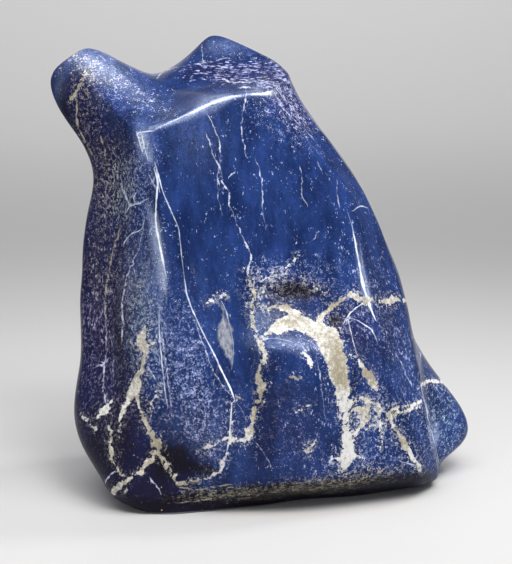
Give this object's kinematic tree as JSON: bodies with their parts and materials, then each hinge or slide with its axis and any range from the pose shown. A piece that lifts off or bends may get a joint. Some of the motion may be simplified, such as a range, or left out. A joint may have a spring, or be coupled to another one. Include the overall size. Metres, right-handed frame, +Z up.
{
  "type": "polished lapis lazuli freeform",
  "caption": "Free-standing polished stone of deep blue lapis lazuli with pale veins, cut flat underneath, with a leaning face, a saddle top and one blunt horn.",
  "frame": {"origin": "on the flat resting face, about under the middle of the stone", "axes": "+Z up, out of the resting face; +X to the right and +Y into the depth in the view that shows the main face"},
  "size_m": [0.2098, 0.1267, 0.2235],
  "materials": {
    "lapis": "high polish"
  },
  "bodies": {
    "root": {"lapis_stone": "lapis"}
  },
  "joints": []
}
